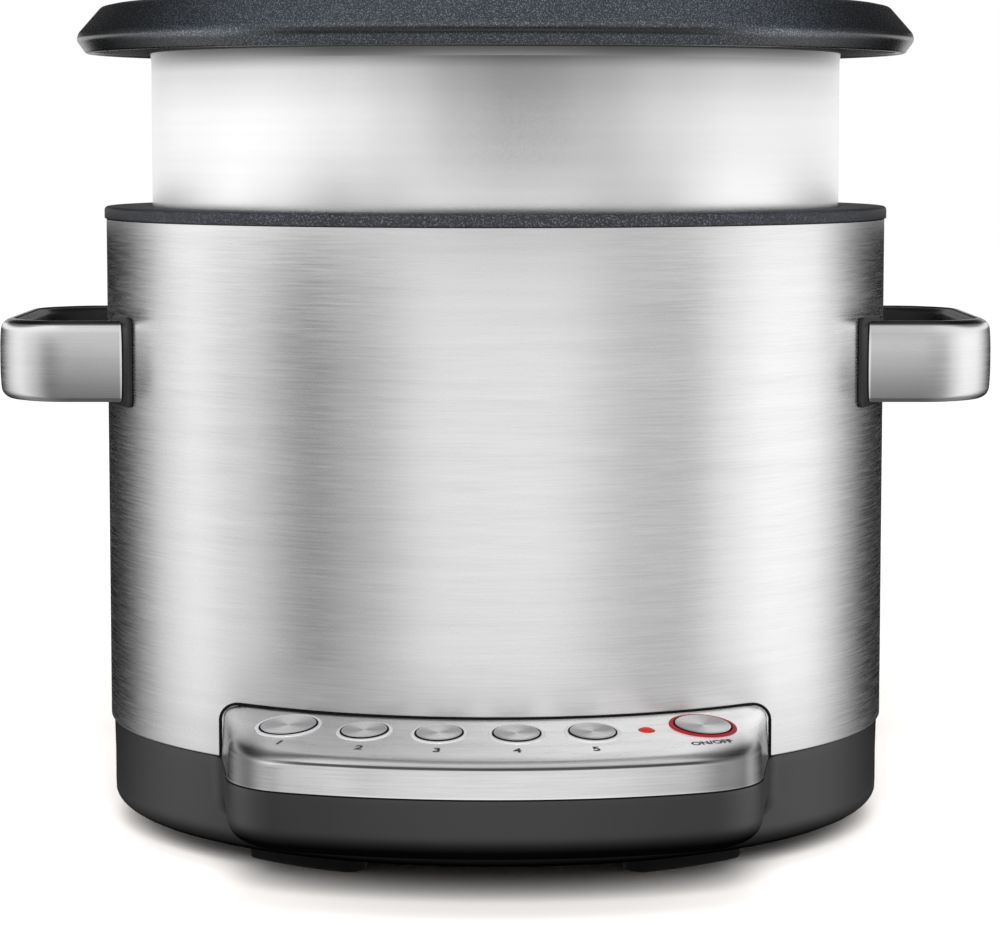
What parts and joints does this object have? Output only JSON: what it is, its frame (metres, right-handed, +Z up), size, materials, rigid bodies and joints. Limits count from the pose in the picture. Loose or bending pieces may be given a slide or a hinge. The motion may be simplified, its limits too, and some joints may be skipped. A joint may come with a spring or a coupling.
{
  "type": "multicooker",
  "caption": "Round steel multicooker with a lift-out cooking bowl, side handles and a front button console.",
  "frame": {"origin": "under the middle of the part on the surface that its feet stand on", "axes": "+X to the right seen from the console, +Y to the back, +Z up; the housing axis is 16 mm behind the origin"},
  "size_m": [0.3506, 0.3318, 0.2943],
  "materials": {
    "brushed_steel": "fine brushing around the body",
    "console_steel": "satin ledge and brushed front",
    "dark_trim": "charcoal with a fine fleck",
    "base_plastic": "satin dark grey",
    "black_plastic": "satin black",
    "foot_rubber": "matt",
    "cast_aluminium": "cast, lightly turned",
    "liner_metal": "dull drawn sheet",
    "bowl_coating": "satin wall with a dark speckled rim and inside",
    "button_metal": "spun",
    "clear_ring": "clear gloss",
    "red_ring": "deep red gloss",
    "red_lens": "red lens",
    "circuit_board": "green board",
    "copper_winding": "lacquered winding",
    "white_ceramic": "matt white",
    "lead_rubber": "soft lead cover",
    "plated_steel": "zinc plated"
  },
  "bodies": {
    "housing": {"base_screw_1": "plated_steel", "base_screw_2": "plated_steel", "base_screw_3": "plated_steel", "base_screw_4": "plated_steel", "base_shell": "base_plastic", "bottom_cover": "black_plastic", "control_board": "circuit_board", "control_panel_fascia": "console_steel", "foot_front_left": "foot_rubber", "foot_front_right": "foot_rubber", "foot_rear_left": "foot_rubber", "foot_rear_right": "foot_rubber", "handle_bracket_left_front": "dark_trim", "handle_bracket_left_rear": "dark_trim", "handle_bracket_right_front": "dark_trim", "handle_bracket_right_rear": "dark_trim", "handle_core_left": "black_plastic", "handle_core_right": "black_plastic", "handle_cover_left": "brushed_steel", "handle_cover_right": "brushed_steel", "handle_screw_1": "plated_steel", "handle_screw_2": "plated_steel", "handle_screw_3": "plated_steel", "handle_screw_4": "plated_steel", "heater_leads": "lead_rubber", "heating_element": "plated_steel", "heating_plate": "cast_aluminium", "housing_shell": "brushed_steel", "inlet_pins": "plated_steel", "inner_pot_liner": "liner_metal", "keep_warm_led": "red_lens", "keep_warm_lens": "red_lens", "liner_support": "base_plastic", "mains_inlet": "black_plastic", "mains_leads": "lead_rubber", "mode_ring_1": "clear_ring", "mode_ring_2": "clear_ring", "mode_ring_3": "clear_ring", "mode_ring_4": "clear_ring", "mode_ring_5": "clear_ring", "panel_button_frame": "black_plastic", "panel_ribbon": "white_ceramic", "plate_spider": "plated_steel", "power_board": "circuit_board", "relay": "black_plastic", "sensor_guide": "plated_steel", "sensor_spring": "plated_steel", "start_ring": "red_ring", "switch_strip": "black_plastic", "thermal_fuse": "white_ceramic", "top_rim_ring": "dark_trim", "transformer": "copper_winding"},
    "bowl": {"cooking_bowl": "bowl_coating"},
    "sensor": {"sensor_cap": "cast_aluminium"},
    "mode_button_1": {"mode_button_1": "button_metal"},
    "mode_button_2": {"mode_button_2": "button_metal"},
    "mode_button_3": {"mode_button_3": "button_metal"},
    "mode_button_4": {"mode_button_4": "button_metal"},
    "mode_button_5": {"mode_button_5": "button_metal"},
    "start_button": {"start_button": "button_metal"}
  },
  "joints": [
    {"name": "bowl_lift", "type": "slide", "parent": "housing", "child": "bowl", "axis": [0, 0, 1], "range_m": [-0.0668, 0.1]},
    {"name": "sensor_plunge", "type": "slide", "parent": "housing", "child": "sensor", "axis": [0, 0, -1], "range_m": [0, 0.003], "stiffness_N_per_m": 400, "springref_m": -0.004, "deforming": ["sensor_spring"]},
    {"name": "mode_1_press", "type": "slide", "parent": "housing", "child": "mode_button_1", "axis": [0.0732, 0.1508, -0.9859], "range_m": [0, 0.0012], "stiffness_N_per_m": 500, "springref_m": -0.002},
    {"name": "mode_2_press", "type": "slide", "parent": "housing", "child": "mode_button_2", "axis": [0.0459, 0.1612, -0.9859], "range_m": [0, 0.0012], "stiffness_N_per_m": 500, "springref_m": -0.002},
    {"name": "mode_3_press", "type": "slide", "parent": "housing", "child": "mode_button_3", "axis": [0.0196, 0.1665, -0.9859], "range_m": [0, 0.0012], "stiffness_N_per_m": 500, "springref_m": -0.002},
    {"name": "mode_4_press", "type": "slide", "parent": "housing", "child": "mode_button_4", "axis": [-0.0076, 0.1674, -0.9859], "range_m": [0, 0.0012], "stiffness_N_per_m": 500, "springref_m": -0.002},
    {"name": "mode_5_press", "type": "slide", "parent": "housing", "child": "mode_button_5", "axis": [-0.0343, 0.1641, -0.9859], "range_m": [0, 0.0012], "stiffness_N_per_m": 500, "springref_m": -0.002},
    {"name": "start_press", "type": "slide", "parent": "housing", "child": "start_button", "axis": [-0.0737, 0.1505, -0.9859], "range_m": [0, 0.0012], "stiffness_N_per_m": 500, "springref_m": -0.002}
  ]
}
